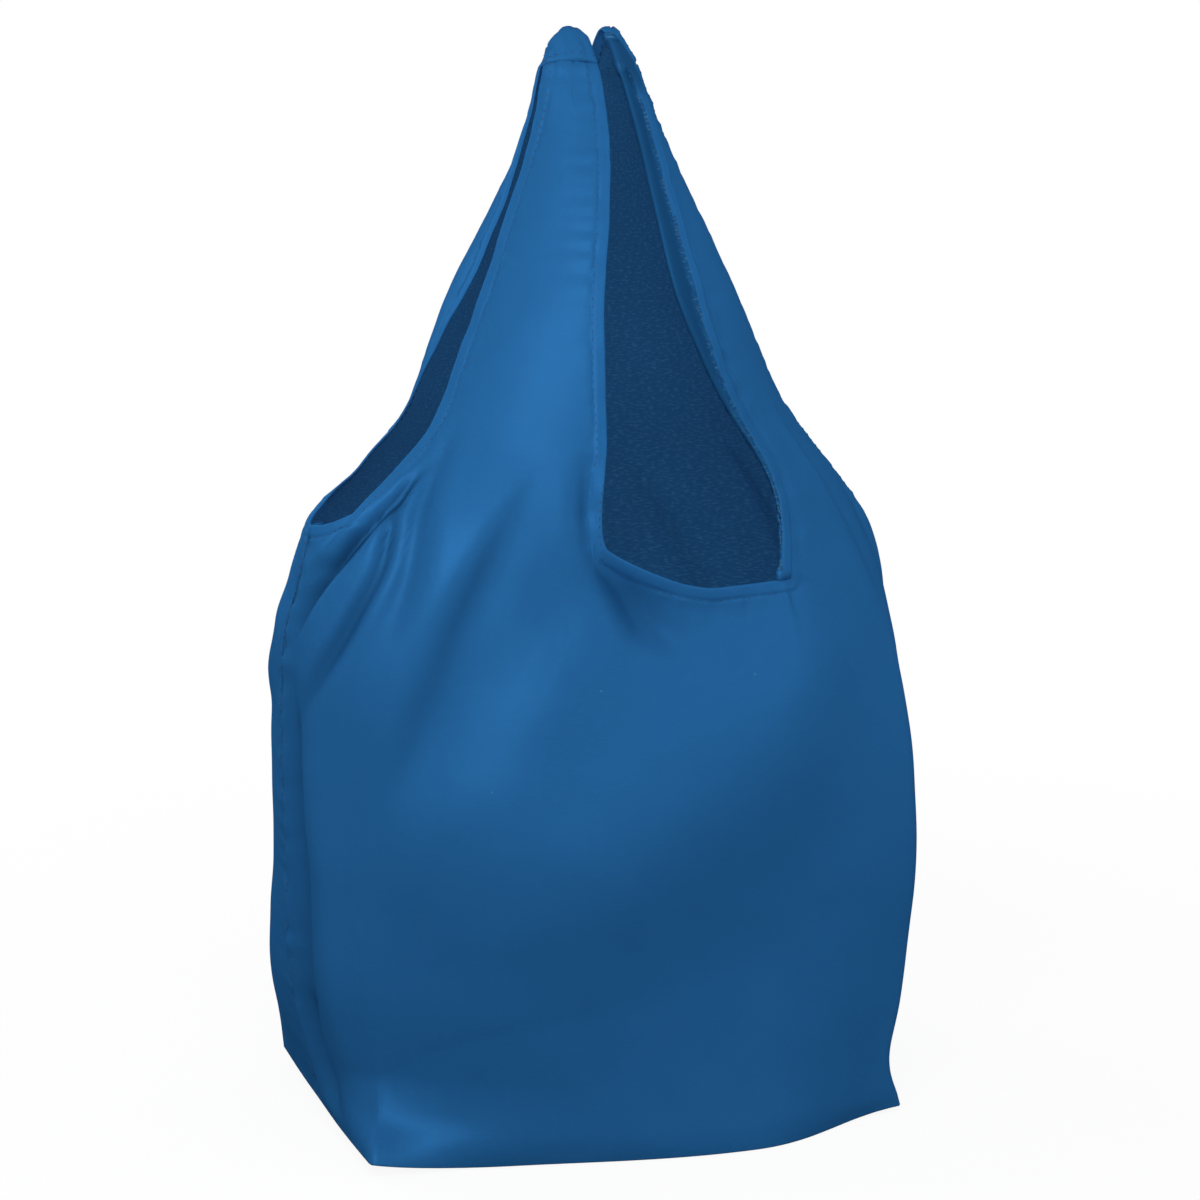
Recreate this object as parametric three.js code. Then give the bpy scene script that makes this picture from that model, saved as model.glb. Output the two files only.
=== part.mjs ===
// Foldable shopping bag: a soft vest-shaped bag of thin polyester, hung by its two loop handles.
// Two cloth panels, front and back, are sewn to each other up the sides, across the base and at the handle tops.
// Units are millimetres, +Z is up, the front faces -Y, and the origin is on the floor under the middle of the bag.
import * as THREE from 'three';

// Cloth
const CLOTH_THICKNESS = 1.2;
const SEAM_GAP = 0.3;
const SEAM_ALLOWANCE = 8;

// Base, which lies on the floor
const BASE_WIDTH = 298;
const BASE_DEPTH = 194;
const BASE_FLAT_WIDTH = 150;
const LEFT_CORNER_LIFT = 7;
const RIGHT_CORNER_LIFT = 3;
const FRONT_BOTTOM_BOW = 26;
const BACK_BOTTOM_BOW = 10;
const BOW_HEIGHT = 120;
const CORNER_PULL = 11;
const CORNER_PULL_HEIGHT = 26;

// Body, from the base up to the lower ends of the side openings
// The left front corner hangs slack: above its foot it loses this share of its squareness.
const LEFT_SLACK = 0.75;
const SLACK_HEIGHT = 45;
const SKIRT_HEIGHT = 67;
const SKIRT_WIDTH = 330;
const SKIRT_DEPTH = 212;
const BELLY_HEIGHT = 207;
const BELLY_WIDTH = 344;
const BELLY_DEPTH = 220;
const SHOULDER_HEIGHT = 323;
const SHOULDER_WIDTH = 332;
const SHOULDER_DEPTH = 182;
const RIGHT_SHOULDER_DROP = 9;

// Handle legs, from the shoulder to the top of the loops
const ARM_HEIGHT = 375;
const ARM_WIDTH = 222;
const ARM_DEPTH = 156;
const LEG_HEIGHT = 437;
const LEG_WIDTH = 152;
const LEG_DEPTH = 128;
const NECK_HEIGHT = 517;
const NECK_WIDTH = 78;
const NECK_DEPTH = 60;
const TOP_HEIGHT = 568;
const TOP_WIDTH = 52;
const HANDLE_SEAM_DROP = 17;
const HANDLE_SEAM_GAP = 0.6;
const HANDLE_EDGE_DROP = 13;
const LOBE_PLACE = 0.36;

// The hung bag turns about its upright axis, because both loops hang on one point
const BELLY_TWIST = 5;
const TOP_TWIST = 14;

// Scooped mouth between the front legs, and its edge that rolls outwards on the right leg
const SCOOP_LOW = 289;
const SCOOP_SLOPE = 30;
const SCOOP_LEFT_HEIGHT = 352;
const BACK_SCOOP_LOW = 330;
const LAPEL_WIDTH = 20;
const LAPEL_END_WIDTH = 7;
const LAPEL_GAP = 1.2;

// Side opening of each loop: its rounded lower end, and half its width as a share of a quarter of the way round
const OPENING_END_RISE = 7;
const OPENING_END_SHARE = 0.14;
const OPENING_SHARE = 0.16;
const OPENING_TOP_SHARE = 0.12;
const LEG_LAP = 0.05;

// Grid of each panel
const OPENING_COLUMNS = 2;
const GUSSET_COLUMNS = 5;
const FRONT_COLUMNS = 6;
const SCOOP_COLUMNS = 12;
const BODY_ROWS = 15;
const LEG_ROWS = 14;
const WRAP_ROWS = 4;

// Places round a panel run from -1 at its left seam to 1 at its right seam.
// The pressed creases of the gussets part the face from the sides in the same shares as the base.
const CREASE = BASE_WIDTH / (BASE_WIDTH + BASE_DEPTH);
const QUARTER_LENGTH = (BASE_WIDTH + BASE_DEPTH) / 2;
const SEAM_PLACE = 1 - SEAM_GAP / 2 / QUARTER_LENGTH;

const clamp01 = (x) => Math.min(1, Math.max(0, x));
const mix = (a, b, t) => a + (b - a) * t;
const easeInOut = (x) => clamp01(x) ** 2 * (3 - 2 * clamp01(x));

// A smooth curve through rows of [height, value, value, ...]
function smoothRow(rows, height) {
  let k = 0;
  while (k < rows.length - 2 && height > rows[k + 1][0]) k += 1;
  const span = (i) => rows[i + 1][0] - rows[i][0];
  const rise = (i, c) => (rows[i + 1][c] - rows[i][c]) / span(i);
  const slope = (i, c) => {
    if (i === 0) return rise(0, c);
    if (i === rows.length - 1) return rise(i - 1, c);
    return (rise(i - 1, c) * span(i) + rise(i, c) * span(i - 1)) / (span(i - 1) + span(i));
  };
  const t = clamp01((height - rows[k][0]) / span(k));
  const keep = 1 - 3 * t ** 2 + 2 * t ** 3;
  const leave = (t ** 3 - 2 * t ** 2 + t) * span(k);
  const arrive = (t ** 3 - t ** 2) * span(k);
  return rows[k].map((value, c) => {
    return keep * value + (1 - keep) * rows[k + 1][c] + leave * slope(k, c) + arrive * slope(k + 1, c);
  });
}

// Horizontal sections: height, half width, half depth, squareness, pointedness at the seams, twist in degrees
const SECTIONS = [
  [0, BASE_WIDTH / 2, BASE_DEPTH / 2, 1, 0, 0],
  [SKIRT_HEIGHT, SKIRT_WIDTH / 2, SKIRT_DEPTH / 2, 0.62, 0, 0],
  [BELLY_HEIGHT, BELLY_WIDTH / 2, BELLY_DEPTH / 2, 0.42, 0.05, BELLY_TWIST],
  [SHOULDER_HEIGHT, SHOULDER_WIDTH / 2, SHOULDER_DEPTH / 2, 0, 0.5, TOP_TWIST - 1],
  [ARM_HEIGHT, ARM_WIDTH / 2, ARM_DEPTH / 2, 0, 0.4, TOP_TWIST],
  [LEG_HEIGHT, LEG_WIDTH / 2, LEG_DEPTH / 2, 0, 0.3, TOP_TWIST],
  [NECK_HEIGHT, NECK_WIDTH / 2, NECK_DEPTH / 2, 0, 0, TOP_TWIST],
  [TOP_HEIGHT, TOP_WIDTH / 2, 0, 0, 0, TOP_TWIST],
];

// How far the sides stand out from the plain sections: height, left seam, left back, right
const SIDE_SHIFTS = [
  [0, 0, 0, 0],
  [SKIRT_HEIGHT - 45, 0, 1, -3],
  [SKIRT_HEIGHT - 7, -1, 3, -4],
  [SKIRT_HEIGHT + 33, -2, 2.5, -3.5],
  [BELLY_HEIGHT - 77, -4, -2, -1.5],
  [BELLY_HEIGHT - 32, -2, -3, -2],
  [BELLY_HEIGHT + 8, 0, -1, -2],
  [SHOULDER_HEIGHT - 83, -2, -1, -2.5],
  [SHOULDER_HEIGHT - 53, -5, -5, -1.5],
  [SHOULDER_HEIGHT - 33, -7, -7, -1],
  [SHOULDER_HEIGHT - 15, -4, -4.5, 0],
  [SHOULDER_HEIGHT, -1, -2, 0],
  [ARM_HEIGHT - 25, 0, -5, 1.5],
  [ARM_HEIGHT, 0, -4, 4],
  [ARM_HEIGHT + 25, 0, -1, 6],
  [LEG_HEIGHT, 0, 0, 5],
  [LEG_HEIGHT + 38, 0, -2, 4],
  [NECK_HEIGHT, 0, -2.5, 3],
  [TOP_HEIGHT, 0, -2.5, -2],
];

// Soft folds of the cloth on the front: two ends as [place, height], depth into the cloth and half width.
// Below 0 the cloth stands out there.
const FRONT_FOLDS = [
  { from: [-0.42, SHOULDER_HEIGHT - 5], to: [-0.6, BELLY_HEIGHT - 12], depth: 4, reach: 22 },
  { from: [-0.28, SHOULDER_HEIGHT - 5], to: [-0.47, BELLY_HEIGHT - 12], depth: -4, reach: 24 },
  { from: [-0.91, SHOULDER_HEIGHT - 61], to: [-0.885, SKIRT_HEIGHT - 45], depth: 5, reach: 16 },
  { from: [0.12, SHOULDER_HEIGHT - 61], to: [-0.56, BELLY_HEIGHT - 37], depth: -5, reach: 34 },
  { from: [-0.79, SHOULDER_HEIGHT + 9], to: [-0.94, SHOULDER_HEIGHT - 61], depth: 7, reach: 11 },
  { from: [-0.69, SHOULDER_HEIGHT + 15], to: [-0.83, SHOULDER_HEIGHT - 85], depth: 6, reach: 12 },
  { from: [-0.56, SHOULDER_HEIGHT + 22], to: [-0.72, SHOULDER_HEIGHT - 73], depth: 3, reach: 14 },
  { from: [-0.19, SHOULDER_HEIGHT - 11], to: [-0.02, SHOULDER_HEIGHT - 57], depth: 5, reach: 15 },
  { from: [0.2, SHOULDER_HEIGHT - 37], to: [0.08, SHOULDER_HEIGHT - 85], depth: 3, reach: 14 },
  { from: [0.62, SHOULDER_HEIGHT + 22], to: [0.84, SHOULDER_HEIGHT - 73], depth: 5, reach: 14 },
];

const BACK_FOLDS = [
  { from: [-0.8, SHOULDER_HEIGHT + 7], to: [-0.95, SHOULDER_HEIGHT - 73], depth: 6, reach: 13 },
  { from: [-0.66, SHOULDER_HEIGHT + 17], to: [-0.8, SHOULDER_HEIGHT - 83], depth: 4, reach: 14 },
  { from: [0.8, SHOULDER_HEIGHT + 7], to: [0.95, SHOULDER_HEIGHT - 68], depth: 6, reach: 13 },
  { from: [0.62, SHOULDER_HEIGHT + 19], to: [0.78, SHOULDER_HEIGHT - 78], depth: 4, reach: 14 },
  { from: [0.18, SHOULDER_HEIGHT + 12], to: [0.02, SHOULDER_HEIGHT - 33], depth: 4, reach: 15 },
];

// Front edges: height, right edge of the left leg, rolled edge of the right leg, width of the roll
const FRONT_EDGES = [
  [SCOOP_LOW, -0.24, 0.235, LAPEL_END_WIDTH],
  [ARM_HEIGHT - 23, -0.24, 0.295, LAPEL_END_WIDTH],
  [ARM_HEIGHT + 20, -0.25, 0.18, LAPEL_WIDTH - 7],
  [LEG_HEIGHT, -0.26, 0.07, LAPEL_WIDTH],
  [NECK_HEIGHT - 32, -0.19, 0.08, LAPEL_WIDTH - 4],
  [NECK_HEIGHT + 13, -0.08, 0.15, LAPEL_END_WIDTH + 4],
  [TOP_HEIGHT, -0.03, 0.16, LAPEL_END_WIDTH + 1],
];

const BACK_EDGES = [
  [BACK_SCOOP_LOW, -0.16, 0.16, 0],
  [ARM_HEIGHT + 20, -0.16, 0.13, 0],
  [LEG_HEIGHT, -0.15, 0.09, 0],
  [NECK_HEIGHT - 32, -0.14, 0.06, 0],
  [NECK_HEIGHT + 13, -0.12, 0.05, 0],
  [TOP_HEIGHT, -0.1, 0.05, 0],
];

// Side openings: height, then how far the edge of a leg stays from the seam's line, as a share of a quarter of the
// way round. The left back leg comes round to the front there, and lies beside the front one.
const OPENING_WIDTHS = [
  [SHOULDER_HEIGHT, OPENING_END_SHARE, OPENING_END_SHARE],
  [ARM_HEIGHT - 25, OPENING_SHARE, OPENING_SHARE],
  [ARM_HEIGHT + 20, 0.12, 0.08],
  [LEG_HEIGHT, 0.12, -0.04],
  [NECK_HEIGHT - 50, 0.1, -LEG_LAP],
  [NECK_HEIGHT, 0.12, -LEG_LAP],
  [TOP_HEIGHT, OPENING_TOP_SHARE, -OPENING_TOP_SHARE / 2],
];

const FRONT = { side: 1, bow: FRONT_BOTTOM_BOW, bowPlace: 0.2, folds: FRONT_FOLDS, edges: FRONT_EDGES };
const BACK = { side: -1, bow: BACK_BOTTOM_BOW, bowPlace: 0, folds: BACK_FOLDS, edges: BACK_EDGES };

// The right of the bag is the right of the front panel and the left of the back panel.
const onRight = (panel, place) => place * panel.side > 0;

// How far the cloth is pushed in at a place by the folds
function foldDepth(panel, place, height) {
  let depth = 0;
  for (const fold of panel.folds) {
    const along = [(fold.to[0] - fold.from[0]) * QUARTER_LENGTH, fold.to[1] - fold.from[1]];
    const out = [(place - fold.from[0]) * QUARTER_LENGTH, height - fold.from[1]];
    const length = Math.hypot(along[0], along[1]);
    const t = (along[0] * out[0] + along[1] * out[1]) / length ** 2;
    const away = (along[0] * out[1] - along[1] * out[0]) / length;
    const fade = easeInOut(1.4 - Math.abs(2.4 * t - 1.2));
    depth += fold.depth * fade * Math.exp(-((away / fold.reach) ** 2));
  }
  return depth * easeInOut((1 - Math.abs(place)) / 0.06);
}

// How far a side of the bag is drawn outwards at a height. The two panels agree along their seams.
function sideShift(panel, place, height) {
  const [, seam, leftBack, right] = smoothRow(SIDE_SHIFTS, height);
  const share = Math.abs(place);
  const wide = easeInOut((share - 0.3) / 0.4);
  const bySeam = easeInOut((share - 0.8) / 0.2);
  if (onRight(panel, place)) return right * wide;
  return panel === BACK ? mix(leftBack * wide, seam, bySeam) : seam * bySeam;
}

// The point on the outside of the cloth at a place round the panel and a section height
function clothPoint(panel, place, sectionHeight, height, folded = true) {
  let [, width, depth, square, pointed, twist] = smoothRow(SECTIONS, sectionHeight);
  if (sectionHeight > NECK_HEIGHT) {
    const rise = (sectionHeight - NECK_HEIGHT) / (TOP_HEIGHT - NECK_HEIGHT);
    depth = (NECK_DEPTH / 2) * Math.sqrt(Math.max(0, 1 - rise)) * (1 - 0.3 * rise);
  }
  if (panel === FRONT && place < 0) {
    square *= 1 - LEFT_SLACK * easeInOut(height / SLACK_HEIGHT) * easeInOut(-place / CREASE);
  }
  const share = Math.abs(place);
  const angle = (place * Math.PI) / 2;
  const boxX = Math.sign(place) * Math.min(1, share / CREASE);
  const boxY = -Math.min(1, (1 - share) / (1 - CREASE));
  const lensX = place * (1.25 - 0.25 * place ** 2);
  const lensY = place ** 2 - 1;
  const round = 1 - square - pointed;
  let x = width * (square * boxX + round * Math.sin(angle) + pointed * lensX);
  let y = depth * (square * boxY - round * Math.cos(angle) + pointed * lensY);
  const toCrease = place < panel.bowPlace ? CREASE + panel.bowPlace : CREASE - panel.bowPlace;
  const bowShare = 0.5 + 0.5 * Math.cos(Math.PI * clamp01(Math.abs(place - panel.bowPlace) / toCrease));
  y -= panel.bow * bowShare * clamp01(1 - height / BOW_HEIGHT) ** 2;
  if (panel === FRONT && place > 0) {
    const near = Math.exp(-(((height - CORNER_PULL_HEIGHT) / CORNER_PULL_HEIGHT) ** 2));
    x -= CORNER_PULL * near * clamp01(place / CREASE) ** 3 * clamp01((1 - place) / (1 - CREASE));
  }
  x += Math.sign(place) * sideShift(panel, place, sectionHeight);
  const push = folded ? foldDepth(panel, place, height) : 0;
  const spread = Math.hypot(x / width ** 2, y / Math.max(depth, 1) ** 2);
  x -= (push * x) / width ** 2 / spread;
  y -= (push * y) / Math.max(depth, 1) ** 2 / spread;
  const turn = (twist * Math.PI) / 180;
  const c = Math.cos(turn) * panel.side;
  const s = Math.sin(turn) * panel.side;
  return new THREE.Vector3(x * c - y * s, x * s + y * c, height);
}

// Height of the base's edge: the corners are drawn up a little, and the middle lies on the floor.
function footHeight(panel, place) {
  const lift = onRight(panel, place) ? RIGHT_CORNER_LIFT : LEFT_CORNER_LIFT;
  const flat = BASE_FLAT_WIDTH / BASE_WIDTH;
  return lift * clamp01((Math.abs(place) / CREASE - flat) / (1 - flat)) ** 2;
}

// Height of the lower end of a side opening
const openingFoot = (panel, place) => SHOULDER_HEIGHT - (onRight(panel, place) ? RIGHT_SHOULDER_DROP : 0);

// Height where the body ends: at the side openings, the feet of the legs or the hem of the scoop
function bodyTop(panel, place) {
  const [, left, right] = panel.edges[0];
  const low = panel === FRONT ? SCOOP_LOW : BACK_SCOOP_LOW;
  const leftHeight = panel === FRONT ? SCOOP_LEFT_HEIGHT : BACK_SCOOP_LOW + 18;
  const rightHeight = panel === FRONT ? SCOOP_LOW : BACK_SCOOP_LOW + 18;
  const round = clamp01((1 - Math.abs(place)) / OPENING_END_SHARE) ** 2;
  const shoulder = openingFoot(panel, place) + OPENING_END_RISE * round;
  const outer = 1 - OPENING_END_SHARE;
  if (place <= left) return mix(shoulder, leftHeight, easeInOut((place + outer) / (left + outer)));
  if (place >= right) return mix(rightHeight, shoulder, easeInOut((place - right) / (outer - right)));
  const across = (place - left) / (right - left);
  if (panel === BACK) return mix(leftHeight, low, Math.sqrt(1 - (2 * across - 1) ** 2));
  const slope = SCOOP_SLOPE * clamp01(1 - across / 0.65) ** 1.6;
  const corner = (leftHeight - low - SCOOP_SLOPE) * clamp01(1 - across / 0.1) ** 2;
  return low + slope + corner;
}

// Half the width of a side opening, as a share of a quarter of the way round
function openingShare(panel, place, height) {
  const drop = SHOULDER_HEIGHT - openingFoot(panel, place);
  const [, share, lapped] = smoothRow(OPENING_WIDTHS, height + drop - OPENING_END_RISE);
  return panel === BACK && place > 0 ? lapped : share;
}

// The top of each loop is a rounded lobe, lower at its two edges.
function lobeDrop(place, sectionHeight) {
  const out = Math.abs(place) - LOBE_PLACE;
  const across = out / (out > 0 ? 1 - LOBE_PLACE : LOBE_PLACE);
  return HANDLE_EDGE_DROP * across ** 2 * easeInOut((sectionHeight - NECK_HEIGHT) / (TOP_HEIGHT - NECK_HEIGHT));
}

// Even steps between two ends, both kept
const steps = (from, to, count) => Array.from({ length: count + 1 }, (_, k) => mix(from, to, k / count));

// Steps from 0 to 1 that crowd at both ends
const crowded = (count) => steps(0, Math.PI, count).map((angle) => 0.5 - 0.5 * Math.cos(angle));

// Turns rows of points into the four-sided faces between them, facing outwards.
function facesBetween(rows) {
  const faces = [];
  for (let j = 0; j + 1 < rows.length; j += 1) {
    for (let i = 0; i + 1 < rows[j].length; i += 1) {
      faces.push([rows[j][i], rows[j][i + 1], rows[j + 1][i + 1], rows[j + 1][i]]);
    }
  }
  return faces;
}

// A leg runs up from the body between its two edges, and the back one goes on over the top to the seam in front.
function legRows(panel, places, isLeft) {
  const first = places[0];
  const last = places[places.length - 1];
  const seamHeight = TOP_HEIGHT - HANDLE_SEAM_DROP;
  const endHeight = panel === FRONT ? seamHeight : TOP_HEIGHT;
  const pointAt = (place, sectionHeight, cloth) => {
    const across = (place - first) / (last - first);
    const [, leftEdge, rightEdge] = smoothRow(panel.edges, sectionHeight);
    const outer = (isLeft ? -1 : 1) * (1 - openingShare(panel, isLeft ? -1 : 1, sectionHeight));
    const spot = isLeft ? mix(outer, leftEdge, across) : mix(rightEdge, outer, across);
    const height = sectionHeight - lobeDrop(spot, sectionHeight);
    return clothPoint(cloth, cloth === panel ? spot : -spot, sectionHeight, height);
  };
  const rows = crowded(LEG_ROWS).map((share) => {
    return places.map((place) => {
      const foot = bodyTop(panel, place);
      if (share === 0) return clothPoint(panel, place, foot, foot);
      return pointAt(place, mix(foot, endHeight, share), panel);
    });
  });
  if (panel === FRONT) return rows;
  const over = steps(TOP_HEIGHT, seamHeight + HANDLE_SEAM_GAP, WRAP_ROWS).slice(1);
  return rows.concat(over.map((height) => places.map((place) => pointAt(place, height, FRONT))));
}

// The scoop's edge on the right front leg is rolled outwards and lies on the leg.
function lapelRows(rows) {
  return rows.map((row) => {
    const [edge, next] = row;
    const across = next.clone().sub(edge).setZ(0).normalize();
    const outwards = new THREE.Vector3(across.y, -across.x, 0);
    const [, , , width] = smoothRow(FRONT_EDGES, edge.z);
    const tip = edge.clone().addScaledVector(outwards, LAPEL_GAP);
    const lie = [0.5, 1].map((share) => {
      const bend = LAPEL_GAP * (1 + 0.6 * share ** 2);
      return edge.clone().addScaledVector(across, width * share).addScaledVector(outwards, bend);
    });
    return [lie[1], lie[0], tip, edge];
  });
}

// The seam allowance turns inwards along a side seam.
function allowanceRows(bodyRows, isLeft) {
  return bodyRows.slice(1).map((row) => {
    const seam = isLeft ? row[0] : row[row.length - 1];
    const inwards = new THREE.Vector3(-seam.x, -seam.y, 0).normalize();
    const end = seam.clone().addScaledVector(inwards, SEAM_ALLOWANCE);
    return isLeft ? [end, seam] : [seam, end];
  });
}

// All outward faces of one panel
function panelFaces(panel) {
  const [, left, right] = panel.edges[0];
  const scoop = crowded(SCOOP_COLUMNS).map((share) => mix(left, right, share));
  const outer = 1 - OPENING_END_SHARE;
  const leftGusset = steps(-outer, -CREASE, GUSSET_COLUMNS);
  const rightGusset = steps(CREASE, outer, GUSSET_COLUMNS);
  const leftPlaces = [...leftGusset, ...steps(-CREASE, left, FRONT_COLUMNS).slice(1)];
  const rightPlaces = [...steps(right, CREASE, FRONT_COLUMNS), ...rightGusset.slice(1)];
  const leftOpening = steps(-SEAM_PLACE, -outer, OPENING_COLUMNS).slice(0, -1);
  const rightOpening = steps(outer, SEAM_PLACE, OPENING_COLUMNS).slice(1);
  const places = [...leftOpening, ...leftPlaces, ...scoop.slice(1, -1), ...rightPlaces, ...rightOpening];

  const bodyRows = steps(0, 1, BODY_ROWS).map((share) => {
    return places.map((place) => {
      const height = mix(footHeight(panel, place), bodyTop(panel, place), share);
      return clothPoint(panel, place, height, height);
    });
  });

  // The base runs from the front edge to the seam across its middle, and takes its ends from the gussets' feet.
  const sideColumns = OPENING_COLUMNS + GUSSET_COLUMNS;
  const faceStart = sideColumns;
  const faceEnd = places.length - 1 - sideColumns;
  const foot = bodyRows[0];
  const baseRows = steps(0, 1, sideColumns).map((_, k) => {
    const share = 1 - foot[faceStart - k].y / foot[faceStart].y;
    const row = foot.slice(faceStart, faceEnd + 1).map((point) => {
      return new THREE.Vector3(point.x, mix(point.y, -panel.side * (SEAM_GAP / 2), share), point.z);
    });
    row[0] = foot[faceStart - k];
    row[row.length - 1] = foot[faceEnd + k];
    return row;
  });

  const leftLeg = legRows(panel, leftPlaces, true);
  const rightLeg = legRows(panel, rightPlaces, false);
  const sheets = [bodyRows, leftLeg, rightLeg, baseRows.reverse()];
  sheets.push(allowanceRows(bodyRows, true), allowanceRows(bodyRows, false));
  if (panel === FRONT) sheets.push(lapelRows(rightLeg.slice(0, -1)));
  return sheets.flatMap(facesBetween);
}

// Thickens outward faces into one closed solid: an inner skin one cloth thickness in, and rims along the free edges.
function thickened(faces) {
  const points = [];
  const indexOf = new Map();
  const indexed = faces.map((face) => {
    return face.map((point) => {
      const key = point.toArray().map((value) => Math.round(value * 2000)).join(' ');
      if (!indexOf.has(key)) {
        indexOf.set(key, points.length);
        points.push(point);
      }
      return indexOf.get(key);
    });
  });

  const faceNormals = indexed.map(([a, b, c, d]) => {
    const across = points[c].clone().sub(points[a]);
    const other = points[d].clone().sub(points[b]);
    return across.cross(other).normalize();
  });
  const around = points.map(() => []);
  indexed.forEach((face, k) => face.forEach((index) => around[index].push(faceNormals[k])));
  const inner = points.map((point, index) => {
    const normal = new THREE.Vector3();
    around[index].forEach((faceNormal) => normal.add(faceNormal));
    normal.normalize();
    const leanest = Math.min(...around[index].map((faceNormal) => faceNormal.dot(normal)));
    return point.clone().addScaledVector(normal, -CLOTH_THICKNESS / Math.max(0.55, leanest));
  });

  const positions = [];
  const addFace = (corners) => {
    const [a, b, c, d] = corners;
    [a, b, c, a, c, d].forEach((corner) => positions.push(corner.x, corner.y, corner.z));
  };
  const neighbours = new Map();
  indexed.forEach((face) => {
    face.forEach((from, k) => {
      const to = face[(k + 1) % face.length];
      neighbours.set(`${from} ${to}`, [from, to]);
    });
  });
  indexed.forEach((face) => {
    const [a, b, c, d] = face;
    addFace([points[a], points[b], points[c], points[d]]);
    addFace([inner[a], inner[d], inner[c], inner[b]]);
  });
  neighbours.forEach(([from, to]) => {
    if (!neighbours.has(`${to} ${from}`)) {
      addFace([points[to], points[from], inner[from], inner[to]]);
    }
  });
  const geometry = new THREE.BufferGeometry();
  geometry.setAttribute('position', new THREE.Float32BufferAttribute(positions, 3));
  geometry.computeVertexNormals();
  return geometry;
}

function clothMesh(name, panel) {
  const material = new THREE.MeshStandardMaterial({ color: 0x22619c, roughness: 0.55, metalness: 0 });
  const mesh = new THREE.Mesh(thickened(panelFaces(panel)), material);
  mesh.name = name;
  return mesh;
}

const bag = new THREE.Group();
bag.name = 'foldable_shopping_bag';
bag.add(clothMesh('front_panel', FRONT));
bag.add(clothMesh('back_panel', BACK));

// The front's foot bows out further than the back's, so the cloth is moved to put the middle of its box at the origin.
const middle = new THREE.Box3().setFromObject(bag, true).getCenter(new THREE.Vector3());
bag.children.forEach((mesh) => mesh.geometry.translate(-middle.x, -middle.y, 0));

export default bag;
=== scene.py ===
"""Foldable shopping bag: two sewn panels of blue polyester taffeta, hung by their loop handles."""
import math

import bmesh
import bpy
import numpy as np
from mathutils import Matrix, Vector
from mathutils.kdtree import KDTree


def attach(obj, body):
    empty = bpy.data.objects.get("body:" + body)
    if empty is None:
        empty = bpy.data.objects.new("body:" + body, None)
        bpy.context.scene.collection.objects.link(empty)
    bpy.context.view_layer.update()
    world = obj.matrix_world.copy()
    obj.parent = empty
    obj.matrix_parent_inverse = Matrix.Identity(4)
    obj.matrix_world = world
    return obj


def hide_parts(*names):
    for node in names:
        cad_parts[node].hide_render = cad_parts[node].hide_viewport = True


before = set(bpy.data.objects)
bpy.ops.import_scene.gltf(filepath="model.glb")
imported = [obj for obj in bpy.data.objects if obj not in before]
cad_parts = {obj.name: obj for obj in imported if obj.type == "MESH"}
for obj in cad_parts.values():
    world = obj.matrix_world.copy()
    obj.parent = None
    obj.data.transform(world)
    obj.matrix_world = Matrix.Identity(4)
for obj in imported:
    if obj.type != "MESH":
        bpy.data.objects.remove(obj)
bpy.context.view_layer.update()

MM = 0.001

# Sizes of the hung bag in millimetres, the same as those of the solids
SEAM_GAP = 0.3
SEAM_ALLOWANCE = 8
SEAM_LEAN = 0.3
BASE_WIDTH = 298
BASE_DEPTH = 194
BASE_FLAT_WIDTH = 150
LEFT_CORNER_LIFT = 7
RIGHT_CORNER_LIFT = 3
FRONT_BOTTOM_BOW = 29
BACK_BOTTOM_BOW = 10
BOW_HEIGHT = 120
CORNER_PULL = 11
CORNER_PULL_HEIGHT = 26
SHOULDER_HEIGHT = 323
RIGHT_SHOULDER_DROP = 9
ARM_HEIGHT = 375
LEG_HEIGHT = 437
NECK_HEIGHT = 517
NECK_DEPTH = 60
TOP_HEIGHT = 568
HANDLE_SEAM_DROP = 17
HANDLE_SEAM_GAP = 0.6
HANDLE_EDGE_DROP = 15
HANDLE_NOTCH_DROP = 7
LOBE_PLACE = 0.3
LOBE_RISE = 23
LOBE_LIFT = 2.5
LEFT_SLACK = 0.75
SLACK_HEIGHT = 45
TUCK = 3.5
TUCK_HEIGHT = 16
TOP_TWIST = 14
SCOOP_LOW = 289
SCOOP_SLOPE = 30
SCOOP_LEFT_HEIGHT = 352
BACK_SCOOP_LOW = 330
BACK_SCOOP_RISE = 18
OPENING_END_RISE = 7
OPENING_END_SHARE = 0.14
MIDDLE = (1.62, -5.4)

# Places round a panel run from -1 at its left seam to 1 at its right seam. From 0 to 1 is a quarter of
# the way round the bag, which is longer at the base than at the shoulders.
CREASE = BASE_WIDTH / (BASE_WIDTH + BASE_DEPTH)
QUARTER = (BASE_WIDTH + BASE_DEPTH) / 2
SHOULDER_QUARTER = 205
SEAM_PLACE = 1 - SEAM_GAP / 2 / QUARTER

# Horizontal sections: height, half width, half depth, squareness, pointedness at the seams, twist in
# degrees
SECTIONS = [
    (0, BASE_WIDTH / 2, BASE_DEPTH / 2, 1, 0, 0),
    (67, 165, 106, 0.62, 0, 0),
    (207, 172, 110, 0.42, 0.05, 5),
    (SHOULDER_HEIGHT, 166, 91, 0, 0.5, TOP_TWIST - 1),
    (ARM_HEIGHT, 111, 78, 0, 0.4, TOP_TWIST),
    (LEG_HEIGHT, 76, 64, 0, 0.3, TOP_TWIST),
    (NECK_HEIGHT, 39, NECK_DEPTH / 2, 0, 0, TOP_TWIST),
    (TOP_HEIGHT, 26, 0, 0, 0, TOP_TWIST),
]

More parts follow.
